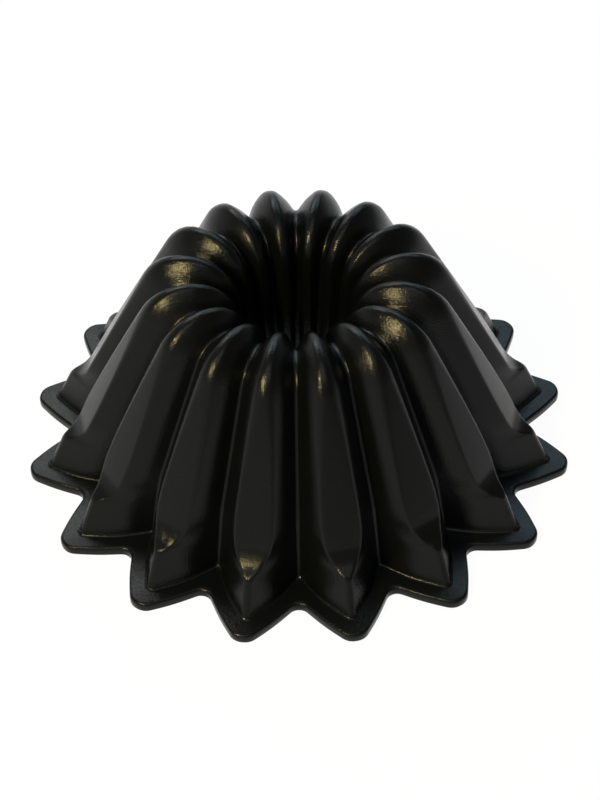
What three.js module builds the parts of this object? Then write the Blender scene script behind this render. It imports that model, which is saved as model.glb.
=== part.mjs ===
// Fluted tube pan: a one-piece aluminium casting with a black coat outside and a release coat inside.
// The pan stands on its star-shaped rim with the crown up. Z is the axis, z = 0 is the rim's flat face.
import * as THREE from "three";

// Driving dimensions, in millimetres
const FLUTES = 16;

// Rim flange: a flat star plate with rounded points and rounded notches
const FLANGE_POINT_RADIUS = 130;
const FLANGE_NOTCH_RADIUS = 109.8;
const FLANGE_POINT_ROUND = 7.2;
const FLANGE_NOTCH_ROUND = 5.5;
const FLANGE_THICKNESS = 4.6;
const FLANGE_EDGE_CHAMFER = 0.9;

// Ridge line of a flute: keel, cove, flat facet, crown arc, centre tube
const KEEL_FOOT_RADIUS = 120.5;
const KEEL_TOP_RADIUS = 112.3;
const KEEL_TOP_HEIGHT = 23;
const COVE_RADIUS = 104;
const COVE_HEIGHT = 26.2;
const FACET_FOOT_RADIUS = 98.3;
const FACET_FOOT_HEIGHT = 34.5;
const RIDGE_CROWN_RADIUS = 49.8;
const RIDGE_CROWN_HEIGHT = 104.6;
const RIDGE_CROWN_ROUND = 23.3;
const RIDGE_TUBE_RADIUS = 20.5;

// Valley line between two flutes: wall, crown arc, centre tube
const VALLEY_FOOT_RADIUS = 94.3;
const VALLEY_KNEE_RADIUS = 87.3;
const VALLEY_CROWN_RADIUS = 47.2;
const VALLEY_CROWN_HEIGHT = 96.1;
const VALLEY_CROWN_ROUND = 15.2;
const VALLEY_TUBE_RADIUS = 22.5;
const VALLEY_FLOOR_HALF_WIDTH = 1.2;

// Flat on top of a ridge, and the round of its two edges. The keel is a narrow flat between bulging flanks.
const KEEL_HALF_WIDTH = 0.8;
const KEEL_FLANK_BULGE = 1.7;
const KEEL_BULGE_PLACE = 0.4; // part of the way from the keel's flat to the valley's floor
const COVE_HALF_WIDTH = 5.2;
const FACET_FOOT_HALF_WIDTH = 7.2;
const FACET_SHOULDER_HALF_WIDTH = 2;
const FACET_EDGE_ROUND = 2;
const CREST_HALF_WIDTH = 0.6;
const CREST_EDGE_ROUND = 1.8;
const TUBE_RIDGE_HALF_WIDTH = 1;

// Walls and coats
const TUBE_END_HEIGHT = 8;
const WALL = 3.8;
const EXTERIOR_COAT = 0.06;
const INTERIOR_COAT = 0.04;

// What is left of a ridge's edge round and flat on the cake side, where the wall's thickness uses them up
const INSIDE_EDGE_ROUND = 0.2;
const INSIDE_GROOVE_HALF_WIDTH = 0.3;

// Facets along each crown arc, and chords round each point of the flange
const CROWN_STEPS = 5;
const POINT_CHORDS = 3;

const PITCH = (2 * Math.PI) / FLUTES;
const HALF_PITCH = PITCH / 2;

// A profile lies in the half plane of the axis: x is the distance from the axis, y is the height.
const at = (radius, height) => new THREE.Vector2(radius, height);

// Angle of the point where the line from an outside point touches a circle, on one of its two sides
function touchAngle(centre, round, from, side) {
  const away = from.clone().sub(centre);
  return away.angle() + side * Math.acos(round / away.length());
}

// Crown arc of a ridge or a valley, touching the wall below it on one side and the tube on the other
function crownArc(centre, round, wallPoint, tubePoint) {
  const start = touchAngle(centre, round, wallPoint, 1) - 2 * Math.PI;
  const end = touchAngle(centre, round, tubePoint, -1);
  const points = [];
  for (let step = 0; step <= CROWN_STEPS; step += 1) {
    const angle = THREE.MathUtils.lerp(start, end, step / CROWN_STEPS);
    points.push(at(centre.x + round * Math.cos(angle), centre.y + round * Math.sin(angle)));
  }
  return points;
}

function ridgeLine() {
  const facetFoot = at(FACET_FOOT_RADIUS, FACET_FOOT_HEIGHT);
  const tubeEnd = at(RIDGE_TUBE_RADIUS, TUBE_END_HEIGHT);
  const centre = at(RIDGE_CROWN_RADIUS, RIDGE_CROWN_HEIGHT - RIDGE_CROWN_ROUND);
  return [
    at(KEEL_FOOT_RADIUS, FLANGE_THICKNESS),
    at(KEEL_TOP_RADIUS, KEEL_TOP_HEIGHT),
    at(COVE_RADIUS, COVE_HEIGHT),
    facetFoot,
    ...crownArc(centre, RIDGE_CROWN_ROUND, facetFoot, tubeEnd),
    tubeEnd,
  ];
}

function valleyLine() {
  const foot = at(VALLEY_FOOT_RADIUS, FLANGE_THICKNESS);
  const knee = at(VALLEY_KNEE_RADIUS, FACET_FOOT_HEIGHT);
  const tubeEnd = at(VALLEY_TUBE_RADIUS, TUBE_END_HEIGHT);
  const centre = at(VALLEY_CROWN_RADIUS, VALLEY_CROWN_HEIGHT - VALLEY_CROWN_ROUND);
  const wallAt = (height) =>
    foot.clone().lerp(knee, (height - foot.y) / (knee.y - foot.y));
  return [
    foot,
    wallAt(KEEL_TOP_HEIGHT),
    wallAt(COVE_HEIGHT),
    knee,
    ...crownArc(centre, VALLEY_CROWN_ROUND, knee, tubeEnd),
    tubeEnd,
  ];
}

// The ridge at each station of the two lines: half the width of its flat and the round of the flat's edges.
// On the keel the edges are sharp, and each flank bulges.
function ridgeShapes() {
  const keel = { flat: KEEL_HALF_WIDTH, round: 0, bulge: KEEL_FLANK_BULGE };
  const crest = { flat: CREST_HALF_WIDTH, round: CREST_EDGE_ROUND };
  const tube = { flat: TUBE_RIDGE_HALF_WIDTH, round: CREST_EDGE_ROUND };
  return [
    keel,
    keel,
    { flat: COVE_HALF_WIDTH, round: FACET_EDGE_ROUND },
    { flat: FACET_FOOT_HALF_WIDTH, round: FACET_EDGE_ROUND },
    { flat: FACET_SHOULDER_HALF_WIDTH, round: FACET_EDGE_ROUND },
    ...Array(CROWN_STEPS - 1).fill(crest),
    tube,
    tube,
  ];
}

// Outward mitre at each point of a line: moving a point by depth along it moves both its sides by depth.
function mitres(line) {
  const normals = [];
  for (let i = 0; i + 1 < line.length; i += 1) {
    const along = line[i + 1].clone().sub(line[i]).normalize();
    normals.push(at(along.y, -along.x));
  }
  return line.map((point, i) => {
    const before = normals[Math.max(i - 1, 0)];
    const after = normals[Math.min(i, normals.length - 1)];
    const middle = before.clone().add(after).normalize();
    return middle.divideScalar(middle.dot(after));
  });
}

// Slides the end point of an offset line along its last stretch to a given height
function trimToHeight(line, end, neighbour, height) {
  const along = line[end].clone().sub(line[neighbour]);
  line[end].addScaledVector(along, (height - line[end].y) / along.y);
}

const RIDGE = ridgeLine();
const VALLEY = valleyLine();
const SHAPES = ridgeShapes();
const RIDGE_MITRES = mitres(RIDGE);
const VALLEY_MITRES = mitres(VALLEY);

// Half angle of the flute's V at each station, between a flank and the ridge plane
const FLANK_ANGLES = RIDGE.map((ridge, i) => {
  const across = VALLEY[i].x * Math.sin(HALF_PITCH) - SHAPES[i].flat - VALLEY_FLOOR_HALF_WIDTH;
  const down = ridge.distanceTo(at(VALLEY[i].x * Math.cos(HALF_PITCH), VALLEY[i].y));
  return Math.atan2(across, down);
});

// One station of the fluted wall as a closed ring, from the half section of one flute:
// the edge of the ridge's flat, a point of the flank and the edge of the valley's floor.
function ringOfHalfSection(half) {
  const oneFlute = [
    ...half.map((p) => new THREE.Vector3(p.x, -p.y, p.z)).reverse(),
    ...half,
  ];
  const ring = [];
  const axis = new THREE.Vector3(0, 0, 1);
  for (let flute = 0; flute < FLUTES; flute += 1) {
    for (const point of oneFlute) {
      ring.push(point.clone().applyAxisAngle(axis, HALF_PITCH + flute * PITCH));
    }
  }
  return ring;
}

// Point beside the valley plane: on the plane at a radius, then across towards the ridge
function besideValley(radius, across, height) {
  return new THREE.Vector3(
    radius * Math.cos(HALF_PITCH) + across * Math.sin(HALF_PITCH),
    radius * Math.sin(HALF_PITCH) - across * Math.cos(HALF_PITCH),
    height,
  );
}

// Fullest point of a keel's flank, pushed out of the straight line from the ridge's edge to the valley's
function bulgePoint(ridgeEdge, valleyEdge, bulge) {
  const along = valleyEdge.clone().sub(ridgeEdge);
  const outward = new THREE.Vector3(along.y, -along.x, 0).setLength(bulge);
  return ridgeEdge.clone().addScaledVector(along, KEEL_BULGE_PLACE).add(outward);
}

// Rings of the fluted wall at a depth below the casting's outer face, from the foot to the tube's end
function wallRings(depth, footHeight) {
  const sections = RIDGE.map((ridge, i) => {
    const { flat, round } = SHAPES[i];
    const turn = Math.PI / 2 - FLANK_ANGLES[i];
    const roundLeft = Math.max(round - depth, INSIDE_EDGE_ROUND);
    const flatLeft = flat - Math.max(depth - round + INSIDE_EDGE_ROUND, 0) * Math.tan(turn / 2);
    const halfWidth = Math.max(flatLeft, INSIDE_GROOVE_HALF_WIDTH);
    const pastFlat = (halfWidth - flatLeft) / Math.tan(FLANK_ANGLES[i]);
    return {
      ridge: ridge.clone().addScaledVector(RIDGE_MITRES[i], -depth - pastFlat),
      valley: VALLEY[i].clone().addScaledVector(VALLEY_MITRES[i], -depth),
      halfWidth,
      edgeAcross: roundLeft * Math.sin(turn),
      edgeDown: roundLeft * (1 - Math.cos(turn)),
      floor: VALLEY_FLOOR_HALF_WIDTH + depth * Math.tan(turn / 2),
    };
  });
  const last = sections.length - 1;
  for (const side of ["ridge", "valley"]) {
    const line = sections.map((section) => section[side]);
    trimToHeight(line, 0, 1, footHeight);
    trimToHeight(line, last, last - 1, TUBE_END_HEIGHT);
  }
  return sections.map((section, i) => {
    const { ridge, valley, halfWidth } = section;
    const { bulge } = SHAPES[i];
    const inward = RIDGE_MITRES[i].clone().normalize().multiplyScalar(-section.edgeDown);
    const edge = ridge.clone().add(inward);
    const ridgeEdge = new THREE.Vector3(ridge.x, halfWidth, ridge.y);
    const valleyEdge = besideValley(valley.x, section.floor, valley.y);
    const edgeHeight = i === last ? ridge.y : edge.y;
    const roundEnd = new THREE.Vector3(edge.x, halfWidth + section.edgeAcross, edgeHeight);
    const onFlank = bulge ? bulgePoint(ridgeEdge, valleyEdge, bulge) : roundEnd;
    return ringOfHalfSection([ridgeEdge, onFlank, valleyEdge]);
  });
}

// Star outline of the flange, grown by a margin: a few chords round each point, one across each notch
function flangeRing(margin, height) {
  const pointRound = FLANGE_POINT_ROUND + margin;
  const notchRound = FLANGE_NOTCH_ROUND - margin;
  const pointCentre = at(FLANGE_POINT_RADIUS - FLANGE_POINT_ROUND, 0);
  const notchReach = FLANGE_NOTCH_RADIUS + FLANGE_NOTCH_ROUND;
  const notchCentre = at(notchReach * Math.cos(HALF_PITCH), notchReach * Math.sin(HALF_PITCH));
  const between = notchCentre.clone().sub(pointCentre);
  const lean = between.angle() - Math.acos((pointRound + notchRound) / between.length());
  const onPoint = (angle) =>
    new THREE.Vector3(
      pointCentre.x + pointRound * Math.cos(angle),
      pointCentre.y + pointRound * Math.sin(angle),
      height,
    );
  const notchEdge = new THREE.Vector3(
    notchCentre.x - notchRound * Math.cos(lean),
    notchCentre.y - notchRound * Math.sin(lean),
    height,
  );
  return ringOfHalfSection([onPoint(lean / POINT_CHORDS), onPoint(lean), notchEdge]);
}

// Outer face of the pan at a margin outside the casting: flange edge, flange top, fluted wall, tube bore
function outerRings(margin) {
  const top = FLANGE_THICKNESS + margin;
  return [
    flangeRing(margin, 0),
    flangeRing(margin, top - FLANGE_EDGE_CHAMFER),
    flangeRing(margin - FLANGE_EDGE_CHAMFER, top),
    ...wallRings(-margin, top),
  ];
}

// Cake side of the pan at a depth below the casting's outer face, from the rim's flat face upwards
const innerRings = (depth) => wallRings(depth, 0);

// Closed body between an outer and an inner stack of rings that have the same points in each ring.
// Facets on the two flanks of a flute are split along mirrored diagonals, and the inner stack runs back
// down, so its diagonals are turned too: two bodies that share a face split it in the same way.
function bodyBetween(outer, inner) {
  const rings = [...outer, ...inner.slice().reverse()];
  const count = rings[0].length;
  const perFlute = count / FLUTES;
  const index = [];
  for (let i = 0; i < rings.length; i += 1) {
    const lower = i * count;
    const upper = ((i + 1) % rings.length) * count;
    const goesUp = i < outer.length;
    for (let j = 0; j < count; j += 1) {
      const next = (j + 1) % count;
      const corners = [lower + j, lower + next, upper + next, upper + j];
      const first = (j % perFlute < perFlute / 2) === goesUp ? 0 : 1;
      const [a, b, c, d] = [0, 1, 2, 3].map((k) => corners[(k + first) % corners.length]);
      index.push(a, b, c, a, c, d);
    }
  }
  const geometry = new THREE.BufferGeometry().setFromPoints(rings.flat());
  geometry.setIndex(index);
  return geometry;
}

function piece(name, geometry, color, roughness, metalness) {
  const material = new THREE.MeshStandardMaterial({ color, roughness, metalness });
  const mesh = new THREE.Mesh(geometry, material);
  mesh.name = name;
  return mesh;
}

const castingOutside = outerRings(0);
const castingInside = innerRings(WALL);

const pan = new THREE.Group();
pan.add(
  piece("pan_casting", bodyBetween(castingOutside, castingInside), 0x9a9b9c, 0.5, 1),
  piece("exterior_coating", bodyBetween(outerRings(EXTERIOR_COAT), castingOutside), 0x1d1d1c, 0.42, 0),
  piece(
    "interior_release_coating",
    bodyBetween(castingInside, innerRings(WALL + INTERIOR_COAT)),
    0x242424,
    0.5,
    0,
  ),
);

export default pan;
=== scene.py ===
# %% [markdown]
# # A fluted tube pan
#
# This lesson dresses a cast aluminium cake pan that stands upside down on its star-shaped rim. The pan
# is one casting with two sprayed coats, so there are three pieces: the metal, the black coat outside
# and the release coat on the cake side. The imported CAD model is loaded first, because it gives the
# place and the size of everything.

# %% Load the frame
import math
from typing import NamedTuple

import bmesh
import bpy
import numpy as np
from mathutils import Matrix, Vector


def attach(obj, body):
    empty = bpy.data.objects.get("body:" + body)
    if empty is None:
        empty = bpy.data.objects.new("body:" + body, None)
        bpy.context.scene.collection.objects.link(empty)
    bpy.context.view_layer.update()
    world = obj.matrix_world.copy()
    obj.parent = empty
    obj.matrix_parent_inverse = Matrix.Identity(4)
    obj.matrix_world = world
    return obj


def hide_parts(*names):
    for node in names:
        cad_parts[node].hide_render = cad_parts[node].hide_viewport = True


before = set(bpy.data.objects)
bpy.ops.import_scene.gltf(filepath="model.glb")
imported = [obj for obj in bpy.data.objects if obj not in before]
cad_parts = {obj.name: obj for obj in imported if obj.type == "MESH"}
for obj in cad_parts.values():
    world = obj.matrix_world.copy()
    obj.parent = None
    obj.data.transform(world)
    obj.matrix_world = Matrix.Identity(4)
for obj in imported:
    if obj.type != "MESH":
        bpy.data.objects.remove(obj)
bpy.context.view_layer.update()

print("nodes:", sorted(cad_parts))

# %% [markdown]
# ## The camera
#
# The picture was taken from the front, about 46 degrees above the table, with a long lens. The lens
# looks a little past the middle of the pan and leans by a degree, so the camera is first aimed at the
# origin and then turned by three small angles. Blender's camera looks along its own -Z, which is why
# the last column of the turning matrix is the direction backwards.

# %% Set up the camera
MM = 0.001
CAMERA_AZIMUTH = math.radians(0.835)
CAMERA_ELEVATION = math.radians(45.89)
CAMERA_DISTANCE = 937.1 * MM
CAMERA_YAW = math.radians(0.058)
CAMERA_PITCH = math.radians(-0.988)
CAMERA_ROLL = math.radians(-1.2355)
LENS_MM = 86.96


def direction(azimuth, elevation):
    """Unit vector from the pan's middle: azimuth 0 is the front, positive to the right."""
    flat = math.cos(elevation)
    return Vector((math.sin(azimuth) * flat, -math.cos(azimuth) * flat, math.sin(elevation)))


towards_camera = direction(CAMERA_AZIMUTH, CAMERA_ELEVATION)
camera_right = (-towards_camera).cross(Vector((0, 0, 1))).normalized()
camera_up = camera_right.cross(-towards_camera)
aimed = Matrix((camera_right, camera_up, towards_camera)).transposed()
turned = (
    Matrix.Rotation(-CAMERA_YAW, 3, "Y")
    @ Matrix.Rotation(-CAMERA_PITCH, 3, "X")
    @ Matrix.Rotation(CAMERA_ROLL, 3, "Z")
)

camera = bpy.data.objects.new("camera", bpy.data.cameras.new("camera"))
camera.data.lens = LENS_MM
camera.matrix_world = Matrix.Translation(towards_camera * CAMERA_DISTANCE) @ (aimed @ turned).to_4x4()
bpy.context.scene.collection.objects.link(camera)
bpy.context.scene.camera = camera
print("camera at", [round(value, 4) for value in camera.matrix_world.translation])

# %% [markdown]
# ## One flute, written as rows
#
# The pan has 16 equal flutes with no twist, and each is mirrored about its own middle plane, so only
# half a flute has to be drawn. A row of numbers describes the wall at one station: where the ridge is,
# where the valley beside it is, how wide the ridge is before it turns down, how full the flank is, and
# how wide the valley's floor is. Following the ridge from row to row gives the flange, the sharp keel,
# the scooped cove, the long leaf-shaped facet, the crown and the tube. Sculpting by hand could make
# this too, but rows of named sizes keep every flute the same and can be measured. All sizes are in
# millimetres.

# %% Sizes of the flute
FLUTES = 16
PITCH = 2 * math.pi / FLUTES
HALF_PITCH = PITCH / 2

FLANGE_POINT_RADIUS = 129.9
FLANGE_NOTCH_RADIUS = 109.8
FLANGE_THICKNESS = 4.6
KEEL_FOOT_RADIUS = 120.5
KEEL_TOP = (112.4, 22.4)
COVE = (106.7, 25.0)
FACET_FOOT = (102.6, 29.6)
FACET_KNEE = (100.2, 34.5)
RIDGE_CROWN_CENTRE = (49.8, 80.6)
RIDGE_CROWN_ROUND = 23.9
RIDGE_TUBE_RADIUS = 20.5
VALLEY_FOOT_RADIUS = 94.3
VALLEY_KNEE_RADIUS = 87.3
VALLEY_CROWN_CENTRE = (47.2, 80.9)
VALLEY_CROWN_ROUND = 15.2
VALLEY_TUBE_RADIUS = 22.5
TUBE_END_HEIGHT = 8.0


class Row(NamedTuple):
    """The wall at one station. Ridge and valley are (distance from the axis, height)."""

    ridge_radius: float
    ridge_height: float
    valley_radius: float
    valley_height: float
    corner: float  # half the ridge's width, out to where it turns down
    corner_ease: float  # length that the turn takes on each side
    bulge: float  # how far the flank's middle stands out
    floor: float  # half the width of the valley's floor
    floor_ease: float


STAR = dict(corner=3.7, corner_ease=3.5, bulge=0.8, floor=2.2, floor_ease=2.1)
KEEL = dict(corner=1.4, corner_ease=1.35, bulge=2.0, floor=0.8, floor_ease=0.75)
COVE_WIDTHS = dict(corner=4.8, corner_ease=1.6, bulge=1.6, floor=0.8, floor_ease=0.75)
FACET = dict(corner_ease=1.4, bulge=0.7, floor=0.8, floor_ease=0.75)
SHOULDER = dict(corner=3.2, corner_ease=3.1, bulge=1.3, floor=0.8, floor_ease=0.75)
CREST = dict(corner=1.5, corner_ease=1.4, bulge=0.6, floor=0.9, floor_ease=0.85)
TUBE = dict(corner=1.8, corner_ease=0.9, bulge=0.2, floor=1.2, floor_ease=0.5)


def row(ridge, valley, **widths):
    return Row(*ridge, *valley, **widths)


def mixed(first, second, share):
    return Row(*(a + (b - a) * share for a, b in zip(first, second)))


print("one flute spans", round(math.degrees(PITCH), 2), "degrees")

# %% [markdown]
# ## The crown's arcs
#
# Over the crown the ridge and the valley each follow a circle. The arc starts where the sloping wall
# touches the circle and ends where the tube's wall touches it, and both touching points follow from the
# circle and a point on the straight part. A Bezier curve with handles would look the same, but an arc
# between two touching points needs no tuning.

# %% Find where the walls touch the crown
CROWN_STEPS = 14


def touch_angle(centre, rounding, point, side):
    """Angle, seen from the circle's centre, where the line from a point touches the circle."""
    across, up = point[0] - centre[0], point[1] - centre[1]
    return math.atan2(up, across) + side * math.acos(rounding / math.hypot(across, up))


def crown_arc(centre, rounding, wall_point, tube_point):
    """Points from the wall to the tube, over the top."""
    start = touch_angle(centre, rounding, wall_point, 1)
    end = touch_angle(centre, rounding, tube_point, -1) % (2 * math.pi)
    angles = np.linspace(start, end, CROWN_STEPS + 1)
    return [
        (centre[0] + rounding * math.cos(angle), centre[1] + rounding * math.sin(angle))
        for angle in angles
    ]


VALLEY_KNEE = (VALLEY_KNEE_RADIUS, FACET_KNEE[1])
RIDGE_TUBE_END = (RIDGE_TUBE_RADIUS, TUBE_END_HEIGHT)
VALLEY_TUBE_END = (VALLEY_TUBE_RADIUS, TUBE_END_HEIGHT)
ridge_arc = crown_arc(RIDGE_CROWN_CENTRE, RIDGE_CROWN_ROUND, FACET_KNEE, RIDGE_TUBE_END)
valley_arc = crown_arc(VALLEY_CROWN_CENTRE, VALLEY_CROWN_ROUND, VALLEY_KNEE, VALLEY_TUBE_END)
print("facet ends at", [round(value, 1) for value in ridge_arc[0]])
print("valley wall ends at", [round(value, 1) for value in valley_arc[0]])

# %% [markdown]
# ## The rows of the outer wall
#
# The rows go from the flange's lower edge to the end of the tube. Two things matter for the likeness.
# The facet is shaped like a leaf: it is widest in its lowest quarter, then it narrows, and its edges get
# rounder until the crown. And the keel's flanks are full like a pointed arch, not flat.

# %% Write the outer rows
# By share of the way up the facet: its half width, and the length of its edge's round
FACET_EDGES = {0.18: (8.4, 1.4), 0.45: (7.0, 1.5), 0.7: (5.5, 2.2)}
FACET_FOOT_HALF_WIDTH = 7.6
FACET_KNEE_HALF_WIDTH = 8.5
CREST_STARTS, CREST_ENDS = 5, 10  # steps of the crown's arc
PLACES = 4  # the first numbers of a row, which are places, before its widths


def valley_wall(height):
    """Point of the valley's lower wall at a height."""
    share = (height - FLANGE_THICKNESS) / (VALLEY_KNEE[1] - FLANGE_THICKNESS)
    return (VALLEY_FOOT_RADIUS + (VALLEY_KNEE_RADIUS - VALLEY_FOOT_RADIUS) * share, height)


def crown_rows(shoulder, crest, tube):
    """One row for each step of the two arcs, from the facet's shoulder to the crest and the tube."""
    rows = []
    for step in range(CROWN_STEPS + 1):
        if step < CREST_STARTS:
            widths = mixed(shoulder, crest, step / CREST_STARTS)
        else:
            after = max(step - CREST_ENDS, 0) / (CROWN_STEPS - CREST_ENDS)
            widths = mixed(crest, tube, after)
        rows.append(Row(*ridge_arc[step], *valley_arc[step], *widths[PLACES:]))
    return rows


facet_foot = row(FACET_FOOT, valley_wall(FACET_FOOT[1]), corner=FACET_FOOT_HALF_WIDTH, **FACET)
facet_knee = row(FACET_KNEE, VALLEY_KNEE, corner=FACET_KNEE_HALF_WIDTH, **FACET)
shoulder = row(ridge_arc[0], valley_arc[0], **SHOULDER)
crest = row(ridge_arc[CREST_STARTS], valley_arc[CREST_STARTS], **CREST)
tube_top = row(ridge_arc[-1], valley_arc[-1], **TUBE)
flange_low = row((FLANGE_POINT_RADIUS, 0.0), (FLANGE_NOTCH_RADIUS, 0.0), **STAR)
flange_top = flange_low._replace(ridge_height=FLANGE_THICKNESS, valley_height=FLANGE_THICKNESS)
foot = row((KEEL_FOOT_RADIUS, FLANGE_THICKNESS), valley_wall(FLANGE_THICKNESS), **KEEL)
keel_top = row(KEEL_TOP, valley_wall(KEEL_TOP[1]), **KEEL)
cove = row(COVE, valley_wall(COVE[1]), **COVE_WIDTHS)
facet = [
    mixed(facet_knee, shoulder, share)._replace(corner=half, corner_ease=ease)
    for share, (half, ease) in FACET_EDGES.items()
]
tube_end = row(RIDGE_TUBE_END, VALLEY_TUBE_END, **TUBE)

crown = crown_rows(shoulder, crest, tube_top)
wall = [foot, keel_top, cove, facet_foot, facet_knee, *facet, *crown, tube_end]
print("rows of the wall:", len(wall))

# %% [markdown]
# ## The same wall at a depth
#
# The metal has an even thickness, so the cake side is the outer wall moved inwards. A Solidify modifier
# would do that on a gentle shape, but here the ridges are narrower than the metal is thick, and the
# moved wall would fold over itself. So each row is moved by itself: ridge and valley go in along the
# bisector of the profile's corner, the ridge narrows, and where it has no width left the groove just
# gets less deep.

# %% Sink the rows into the metal
WALL_THICKNESS = 3.8
OUTER_COAT = 0.06
INNER_COAT = 0.04
GROOVE_HALF_WIDTH = 1.0  # the narrowest groove that is cast on the cake side
EASE_SHARE = 0.9  # most of a corner's half width that its round may take


def bisectors(line):
    """Outward vector at each point of a profile that moves both of its sides by one unit."""
    sides = np.diff(line, axis=0)
    normals = np.stack([sides[:, 1], -sides[:, 0]], axis=1)
    normals /= np.linalg.norm(normals, axis=1, keepdims=True)
    before = np.vstack([normals[:1], normals])
    after = np.vstack([normals, normals[-1:]])
    middle = before + after
    middle /= np.linalg.norm(middle, axis=1, keepdims=True)
    return middle / np.sum(middle * after, axis=1, keepdims=True)


def cut_level(line, foot_height):
    """Moves a profile's two ends along their own slopes to the height of the foot and of the tube's end."""
    for end, neighbour, level in ((0, 1, foot_height), (-1, -2, TUBE_END_HEIGHT)):
        run, rise = line[end] - line[neighbour]
        line[end, 0] += run * (level - line[end, 1]) / rise
        line[end, 1] = level
    return line


def sunk(rows, depth, foot_height):
    """The rows moved into the metal by a depth, with their ends cut level again."""
    ridge = np.array([(here.ridge_radius, here.ridge_height) for here in rows])
    valley = np.array([(here.valley_radius, here.valley_height) for here in rows])
    corner = np.array([here.corner for here in rows])
    floor = np.array([here.floor for here in rows])
    drop = np.hypot(ridge[:, 0] - valley[:, 0] * math.cos(HALF_PITCH), ridge[:, 1] - valley[:, 1])
    across = valley[:, 0] * math.sin(HALF_PITCH) - corner - floor
    flank = np.arctan2(across, drop)
    narrowing = depth * np.tan((math.pi / 2 - flank) / 2)
    width_left = corner - narrowing
    corner_in = np.maximum(width_left, np.minimum(corner, GROOVE_HALF_WIDTH))
    past_corner = (corner_in - width_left) / np.tan(flank)
    ridge_in = cut_level(ridge - bisectors(ridge) * (depth + past_corner)[:, None], foot_height)
    valley_in = cut_level(valley - bisectors(valley) * depth, foot_height)
    return [
        Row(
            *ridge_in[i],
            *valley_in[i],
            corner=corner_in[i],
            corner_ease=min(here.corner_ease, EASE_SHARE * corner_in[i]),
            bulge=here.bulge,
            floor=here.floor + narrowing[i],
            floor_ease=here.floor_ease + narrowing[i],
        )
        for i, here in enumerate(rows)
    ]


cake_side = sunk(wall, WALL_THICKNESS, 0.0)
print("cake side: rim opening", round(2 * cake_side[0].ridge_radius, 1), "mm across")

# %% [markdown]
# ## From rows to a surface
#
# A casting has no knife edges: each corner is rounded, tightly at the flange's lower edge and widely in
# the scooped cove. `eased` rounds the corners of a line of points with small curves, and it is used
# twice: along the rows, where a whole row is treated as one point, and across each row, from the ridge
# over the flank to the valley.

# %% Round the corners of a line
FULL = 1000.0  # a rounding that takes all the room there is
END_ROOM, INNER_ROOM = 0.95, 0.48  # share of a side that one corner's rounding may take


def eased(points, reaches, steps, dims):
    """Rounds the inner corners of a line. Lengths are measured in the first dims numbers of a point."""
    points = [np.array(point, dtype=float) for point in points]
    last = len(points) - 1
    line = [points[0]]
    for i, (reach, count) in enumerate(zip(reaches, steps), start=1):
        corner = points[i]
        ends = []
        for j in (i - 1, i + 1):
            side = points[j] - corner
            room = END_ROOM if j in (0, last) else INNER_ROOM
            ends.append(corner + side * min(reach / np.linalg.norm(side[:dims]), room))
        for t in np.linspace(0, 1, count + 1):
            line.append((1 - t) ** 2 * ends[0] + 2 * t * (1 - t) * corner + t * t * ends[1])
    line.append(points[-1])
    return line


BELLY_PLACE = 0.5  # where the flank is fullest, from the ridge's corner to the valley's
SECTION_STEPS = (5, 4, 3)


def half_section(values):
    """Points across half a flute, from the ridge's middle to the valley's middle."""
    here = Row(*values)
    ridge = Vector((here.ridge_radius, 0, here.ridge_height))
    corner = ridge + Vector((0, here.corner, 0))
    valley = Vector((math.cos(HALF_PITCH), math.sin(HALF_PITCH), 0)) * here.valley_radius
    valley.z = here.valley_height
    floor_corner = valley + Vector((math.sin(HALF_PITCH), -math.cos(HALF_PITCH), 0)) * here.floor
    flank = floor_corner - corner
    drop = valley - ridge
    outward = flank.cross(Vector((drop.z, 0, -drop.x))).normalized()
    belly = corner + flank * BELLY_PLACE + outward * here.bulge
    return eased(
        [ridge, corner, belly, floor_corner, valley],
        (here.corner_ease, FULL, here.floor_ease),
        SECTION_STEPS,
        3,
    )


print("points across half a flute:", len(half_section(foot)))

# %% [markdown]
# ## Closing the surface into a body
#
# The rows of a piece run out along one face and back along the other, so they close on themselves like
# a rubber band. A grid is laid out with one line of vertices for each row, its vertices are moved to
# their places, and then `mirror` makes the whole flute and `spin` copies it round the axis. The seams
# fall on the ridge and on the valley planes, where both sides have the same points, so merging doubles
# closes them.

# %% Make a body of 16 flutes
MERGE = 1e-7


def fluted_body(name, sections):
    """A closed body from half sections that start and end at the same place."""
    rows, columns = len(sections), len(sections[0])
    mesh = bmesh.new()
    bmesh.ops.create_grid(mesh, x_segments=rows - 1, y_segments=columns - 1, size=0.5)
    for vert in mesh.verts:
        i = round((vert.co.x + 0.5) * (rows - 1))
        j = round((vert.co.y + 0.5) * (columns - 1))
        vert.co = Vector(sections[i][j]) * MM
    half = mesh.verts[:] + mesh.edges[:] + mesh.faces[:]
    bmesh.ops.mirror(mesh, geom=half, axis="Y", merge_dist=MERGE)
    bmesh.ops.rotate(mesh, verts=mesh.verts, matrix=Matrix.Rotation(HALF_PITCH, 3, "Z"))
    flute = mesh.verts[:] + mesh.edges[:] + mesh.faces[:]
    bmesh.ops.spin(
        mesh, geom=flute, axis=(0, 0, 1), angle=PITCH * (FLUTES - 1), steps=FLUTES - 1, use_duplicate=True
    )
    bmesh.ops.remove_doubles(mesh, verts=mesh.verts, dist=MERGE)
    bmesh.ops.recalc_face_normals(mesh, faces=mesh.faces)
    for face in mesh.faces:
        face.smooth = True
    open_edges = sum(1 for edge in mesh.edges if not edge.is_manifold)
    volume = mesh.calc_volume(signed=True) / MM**3
    piece = bpy.data.objects.new(name, bpy.data.meshes.new(name))
    mesh.to_mesh(piece.data)
    mesh.free()
    bpy.context.scene.collection.objects.link(piece)
    print(name, len(piece.data.polygons), "quads,", open_edges, "open edges,", round(volume), "mm3")
    return piece


print("copies that spin adds:", FLUTES - 1)

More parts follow.
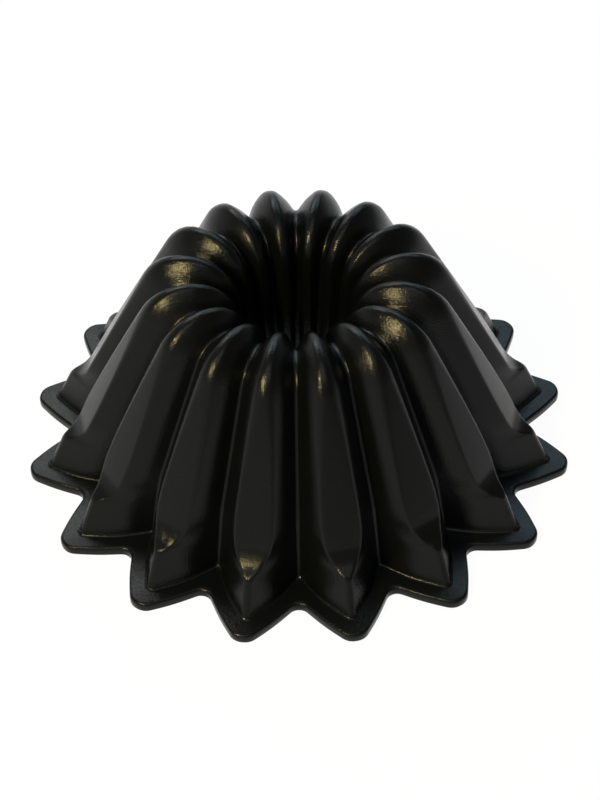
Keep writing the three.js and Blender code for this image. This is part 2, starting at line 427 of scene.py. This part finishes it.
# %% [markdown]
# ## The three pieces
#
# The black coat goes from the inner edge of the rim, under the flange and round its edge, up the
# outside, over the crown and down the tube, and turns round the tube's end. The release coat covers the
# cake side. The metal fills what is between them. All three come from the same rows at different
# depths, so they touch without a gap.

# %% Build the coats and the casting
# Rounds along the wall, row by row from its foot. The rows on the crown's arcs need none.
WALL_EASES = [1.5, 2.0, 3.0, 1.5, 2.5, 4.0, 4.0, 4.0] + [0.0] * (CROWN_STEPS + 1)
WALL_STEPS = [4, 5, 6, 4, 2, 2, 2, 2] + [0] * (CROWN_STEPS + 1)
FLANGE_EASES, FLANGE_STEPS = [0.6, 1.7], [3, 5]
TUBE_END_EASE, TUBE_END_STEPS = 0.9, 3


def outer_face(depth):
    """Half sections of the outside, at a depth, from the rim's inner edge to the tube's."""
    sunk_wall = sunk(wall, depth, FLANGE_THICKNESS - depth)
    inner_rim, inner_tube = cake_side[0], cake_side[-1]
    inner_rim = inner_rim._replace(ridge_height=depth, valley_height=depth)
    level = TUBE_END_HEIGHT + depth
    inner_tube = inner_tube._replace(ridge_height=level, valley_height=level)
    sunk_wall[-1] = sunk_wall[-1]._replace(ridge_height=level, valley_height=level)
    low, top = (
        edge._replace(
            ridge_radius=edge.ridge_radius - depth,
            valley_radius=edge.valley_radius - depth,
            ridge_height=height,
            valley_height=height,
        )
        for edge, height in ((flange_low, depth), (flange_top, FLANGE_THICKNESS - depth))
    )
    rows = [inner_rim, low, top, *sunk_wall, inner_tube]
    eases = FLANGE_EASES + WALL_EASES + [TUBE_END_EASE]
    steps = FLANGE_STEPS + WALL_STEPS + [TUBE_END_STEPS]
    return [half_section(values) for values in eased(rows, eases, steps, 2)]


def inner_face(depth):
    """Half sections of the cake side, at a depth below the outside, from the rim to the tube's end."""
    rows = sunk(wall, depth, 0.0)
    return [half_section(values) for values in eased(rows, WALL_EASES[1:], WALL_STEPS[1:], 2)]


def closed(there, back):
    return [*there, *reversed(back), there[0]]


metal_outside = outer_face(OUTER_COAT)
metal_inside = inner_face(WALL_THICKNESS)
outer_coat = fluted_body("exterior_coat", closed(outer_face(0.0), metal_outside))
casting = fluted_body("casting", closed(metal_outside, metal_inside))
inner_coat = fluted_body("release_coat", closed(metal_inside, inner_face(WALL_THICKNESS + INNER_COAT)))

# %% [markdown]
# ## Shader sums
#
# A finish is a small network of nodes. Written as node and link calls it is hard to read, so this class
# wraps one socket: `+` and `*` on it add Math nodes, and `node` adds any other node with its settings
# and inputs.

# %% Wrap a node socket
class Paint:
    """One output in a tree of nodes, which can be used in sums."""

    def __init__(self, tree, output=None):
        self.tree = tree
        self.output = output

    def node(self, kind, settings=None, inputs=None, output=0):
        made = self.tree.nodes.new(kind)
        for name, value in (settings or {}).items():
            setattr(made, name, value)
        for name, value in (inputs or {}).items():
            if isinstance(value, Paint):
                self.tree.links.new(value.output, made.inputs[name])
            else:
                made.inputs[name].default_value = value
        return Paint(self.tree, made.outputs[output])

    def sum(self, operation, first, second):
        return self.node("ShaderNodeMath", {"operation": operation}, {0: first, 1: second})

    def __add__(self, other):
        return self.sum("ADD", self, other)

    def __radd__(self, other):
        return self.sum("ADD", other, self)

    def __mul__(self, other):
        return self.sum("MULTIPLY", self, other)

    def __rmul__(self, other):
        return self.sum("MULTIPLY", other, self)


def new_finish(name):
    """An empty material, and the Paint that adds its nodes."""
    material = bpy.data.materials.new(name)
    material.use_nodes = True
    material.node_tree.nodes.clear()
    return material, Paint(material.node_tree)


def show(paint, shader, kind="ShaderNodeOutputMaterial"):
    """Adds the output node and links the finished shader to it."""
    end = paint.tree.nodes.new(kind)
    paint.tree.links.new(shader.output, end.inputs["Surface"])


print("sums that Paint knows: + *")

# %% [markdown]
# ## The black coat
#
# The coat is sprayed and cured, so it is satin, nearly black and slightly grainy. The grain is too fine
# to model: a noise of about half a millimetre feeds a Bump node, and in a highlight each grain catches
# the lamp by itself. A much wider noise changes the colour and the roughness a little, because a
# sprayed film is never quite even. The release coat is made by the same function, greyer and less
# shiny. An image of a real coat could be used instead, but it would repeat, and it would have to be
# fitted round every flute.

# %% Make the coats' finish
GRAIN_SCALE = 1750.0  # noise cells in a metre
CLOUD_SCALE = 26.0
CLOUD_SHARE = 0.7  # of the change in colour, the rest follows the grain
ROUGHNESS_SPREAD = 0.1


def sprayed_coat(name, dark, light, roughness, grain_height, specular):
    material, paint = new_finish(name)
    place = paint.node("ShaderNodeTexCoord", output="Object")
    grain = paint.node(
        "ShaderNodeTexNoise", inputs={"Vector": place, "Scale": GRAIN_SCALE, "Detail": 0.5}
    )
    cloud = paint.node("ShaderNodeTexNoise", inputs={"Vector": place, "Scale": CLOUD_SCALE, "Detail": 3.0})
    colour = paint.node(
        "ShaderNodeMix",
        {"data_type": "RGBA"},
        {"Factor": cloud * CLOUD_SHARE + grain * (1 - CLOUD_SHARE), "A": (*dark, 1.0), "B": (*light, 1.0)},
        output="Result",
    )
    bump = paint.node(
        "ShaderNodeBump", inputs={"Strength": 1.0, "Distance": grain_height * MM, "Height": grain}
    )
    shader = paint.node(
        "ShaderNodeBsdfPrincipled",
        inputs={
            "Base Color": colour,
            "Roughness": cloud * ROUGHNESS_SPREAD + (roughness - ROUGHNESS_SPREAD / 2),
            "Specular IOR Level": specular,
            "Normal": bump,
        },
    )
    show(paint, shader)
    return material


black_coat = sprayed_coat(
    "black_coat",
    dark=(0.0012, 0.0015, 0.0016),
    light=(0.0026, 0.003, 0.0031),
    roughness=0.2,
    grain_height=0.125,
    specular=0.15,
)
slick_coat = sprayed_coat(
    "slick_coat",
    dark=(0.004, 0.0042, 0.0044),
    light=(0.007, 0.0072, 0.0074),
    roughness=0.3,
    grain_height=0.06,
    specular=0.12,
)
print("coats:", black_coat.name, slick_coat.name)

# %% [markdown]
# ## The metal
#
# The casting is hidden under its coats, but it is still given its own finish: dull grey aluminium, with
# the fine mottling and pitted skin that sand or die casting leaves.

# %% Make the casting's finish
PIT_SCALE = 900.0
MOTTLE_SCALE = 140.0
PIT_DEPTH = 0.05
METAL_ROUGHNESS = 0.4
MOTTLE_ROUGHNESS = 0.2


def cast_metal(name):
    material, paint = new_finish(name)
    place = paint.node("ShaderNodeTexCoord", output="Object")
    pits = paint.node("ShaderNodeTexNoise", inputs={"Vector": place, "Scale": PIT_SCALE, "Detail": 2.0})
    mottle = paint.node("ShaderNodeTexNoise", inputs={"Vector": place, "Scale": MOTTLE_SCALE, "Detail": 4.0})
    colour = paint.node(
        "ShaderNodeMix",
        {"data_type": "RGBA"},
        {"Factor": mottle, "A": (0.27, 0.27, 0.28, 1.0), "B": (0.42, 0.42, 0.43, 1.0)},
        output="Result",
    )
    bump = paint.node("ShaderNodeBump", inputs={"Strength": 1.0, "Distance": PIT_DEPTH * MM, "Height": pits})
    shader = paint.node(
        "ShaderNodeBsdfPrincipled",
        inputs={
            "Base Color": colour,
            "Metallic": 1.0,
            "Roughness": mottle * MOTTLE_ROUGHNESS + METAL_ROUGHNESS,
            "Normal": bump,
        },
    )
    show(paint, shader)
    return material


metal = cast_metal("cast_aluminium")
print("metal:", metal.name)

# %% [markdown]
# ## Joining the frame
#
# Each piece takes the place of its CAD node, which stays hidden for the physics. The pan has no moving
# part, so all of them ride on the one body, the root.

# %% Hand the pieces to the frame
for piece, finish, node, slot in (
    (outer_coat, black_coat, "exterior_coating", "exterior_coat"),
    (casting, metal, "pan_casting", "cast_aluminium"),
    (inner_coat, slick_coat, "interior_release_coating", "release_coat"),
):
    piece.data.materials.append(finish)
    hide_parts(node)
    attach(piece, "root")
    print(piece.name, "stands for", node)

# %% [markdown]
# ## The floor
#
# The pan stands on a white floor. The floor glows by itself, but only for what the camera, a reflection
# or glass looks at, so it is white without lighting the pan, and a small part of its look is left to
# the lamps and shows the pan's shadow. Stronger lamps over a plain floor would make it white too, but
# they would light the pan as well. From below, the floor is clear, so that the cake side can be looked
# at.

# %% Lay the floor
FLOOR_HALF = 6.0
FLOOR_DROP = 0.1 * MM  # keeps the floor out of the plane of the rim's face
floor_mesh = bmesh.new()
bmesh.ops.create_grid(floor_mesh, x_segments=1, y_segments=1, size=FLOOR_HALF)
floor = bpy.data.objects.new("floor", bpy.data.meshes.new("floor"))
floor_mesh.to_mesh(floor.data)
floor_mesh.free()
floor.location.z = -FLOOR_DROP
bpy.context.scene.collection.objects.link(floor)

FLOOR_GLOW = 0.95  # share of the floor's look that is plain white, the rest shows the shadow
pale_floor, paint = new_finish("pale_floor")
camera_ray, glossy_ray, through_ray = (
    paint.node("ShaderNodeLightPath", output=name)
    for name in ("Is Camera Ray", "Is Glossy Ray", "Is Transmission Ray")
)
seen = paint.sum("MAXIMUM", paint.sum("MAXIMUM", camera_ray, glossy_ray), through_ray)
matt = paint.node("ShaderNodeBsdfDiffuse", inputs={"Color": (0.95, 0.95, 0.95, 1.0)})
glow = paint.node("ShaderNodeEmission", inputs={"Color": (1.0, 1.0, 1.0, 1.0), "Strength": 1.0})
white = paint.node("ShaderNodeMixShader", inputs={0: seen * FLOOR_GLOW, 1: matt, 2: glow})
from_below = paint.node("ShaderNodeNewGeometry", output="Backfacing")
clear = paint.node("ShaderNodeBsdfTransparent")
show(paint, paint.node("ShaderNodeMixShader", inputs={0: from_below, 1: white, 2: clear}))
floor.data.materials.append(pale_floor)
print("floor:", 2 * FLOOR_HALF, "m square")

# %% [markdown]
# ## The room
#
# A satin coat shows its room as soft pale areas. This room is white near the floor, dimmer overhead and
# dimmest on the right, which keeps the facets on that side dark. An image of a real room could light
# the world instead, but two smooth fades are enough for a coat that blurs everything.

# %% Light the world
HORIZON, OVERHEAD = 1.0, 0.45  # strength of the room's light
DIM_HEIGHT = 0.5  # how high the light has faded, as the sine of the angle above the floor
RIGHT_SHARE = 0.35  # how much of that light there is on the right
SIDE_STARTS, SIDE_ENDS = -0.3, 0.7  # where the light fades to the right, as sines too
world = bpy.data.worlds.new("room")
world.use_nodes = True
world.node_tree.nodes.clear()
paint = Paint(world.node_tree)
way = paint.node("ShaderNodeTexCoord", output="Generated")
height = paint.node("ShaderNodeSeparateXYZ", inputs={"Vector": way}, output="Z")
to_right = paint.node("ShaderNodeSeparateXYZ", inputs={"Vector": way}, output="X")


def faded(value, start, stop, first, last):
    """A strength that changes smoothly from the first to the last between two places."""
    return paint.node(
        "ShaderNodeMapRange",
        {"interpolation_type": "SMOOTHSTEP"},
        {"Value": value, "From Min": start, "From Max": stop, "To Min": first, "To Max": last},
    )


by_height = faded(height, 0.0, DIM_HEIGHT, HORIZON, OVERHEAD)
by_side = faded(to_right, SIDE_STARTS, SIDE_ENDS, 1.0, RIGHT_SHARE)
room = paint.node(
    "ShaderNodeBackground", inputs={"Color": (0.95, 0.98, 1.0, 1.0), "Strength": by_height * by_side}
)
show(paint, room, "ShaderNodeOutputWorld")
bpy.context.scene.world = world
print("room light: from", HORIZON, "at the floor to", OVERHEAD, "overhead")

# %% [markdown]
# ## The lamps
#
# A warm lamp at the front left puts the golden spots on the crown and in the coves. Four wide soft
# lamps, three behind and one above, draw the edges of the flange and the crests. They are area lamps,
# because a point lamp would leave hard dots on a satin coat. Angles are in degrees, lengths in metres
# and powers in watts.

# %% Hang the lamps
LAMPS_AIM = Vector((0, 0, 0.05))  # half way up the pan


def lamp(name, azimuth, elevation, distance, size, power, colour):
    """A square soft lamp that looks at the pan."""
    made = bpy.data.objects.new(name, bpy.data.lights.new(name, "AREA"))
    made.data.size = size
    made.data.energy = power
    made.data.color = colour
    towards = direction(math.radians(azimuth), math.radians(elevation))
    made.location = LAMPS_AIM + towards * distance
    made.rotation_euler = towards.to_track_quat("Z", "Y").to_euler()
    bpy.context.scene.collection.objects.link(made)
    print(name, "at", [round(value, 2) for value in made.location])


lamp("warm_key", -40, 42, distance=1.2, size=0.24, power=16.0, colour=(1.0, 0.81, 0.36))
lamp("cool_back_right", 155, 45, distance=1.6, size=0.7, power=4.0, colour=(0.6, 0.82, 1.0))
lamp("pale_back_left", -155, 45, distance=1.6, size=0.7, power=7.0, colour=(0.97, 1.0, 1.0))
lamp("soft_top", 0, 68, distance=1.6, size=0.9, power=4.0, colour=(0.92, 1.0, 0.98))
lamp("teal_back", 180, 33, distance=1.6, size=0.8, power=3.0, colour=(0.7, 0.97, 1.0))

bpy.context.scene.view_settings.view_transform = "Standard"
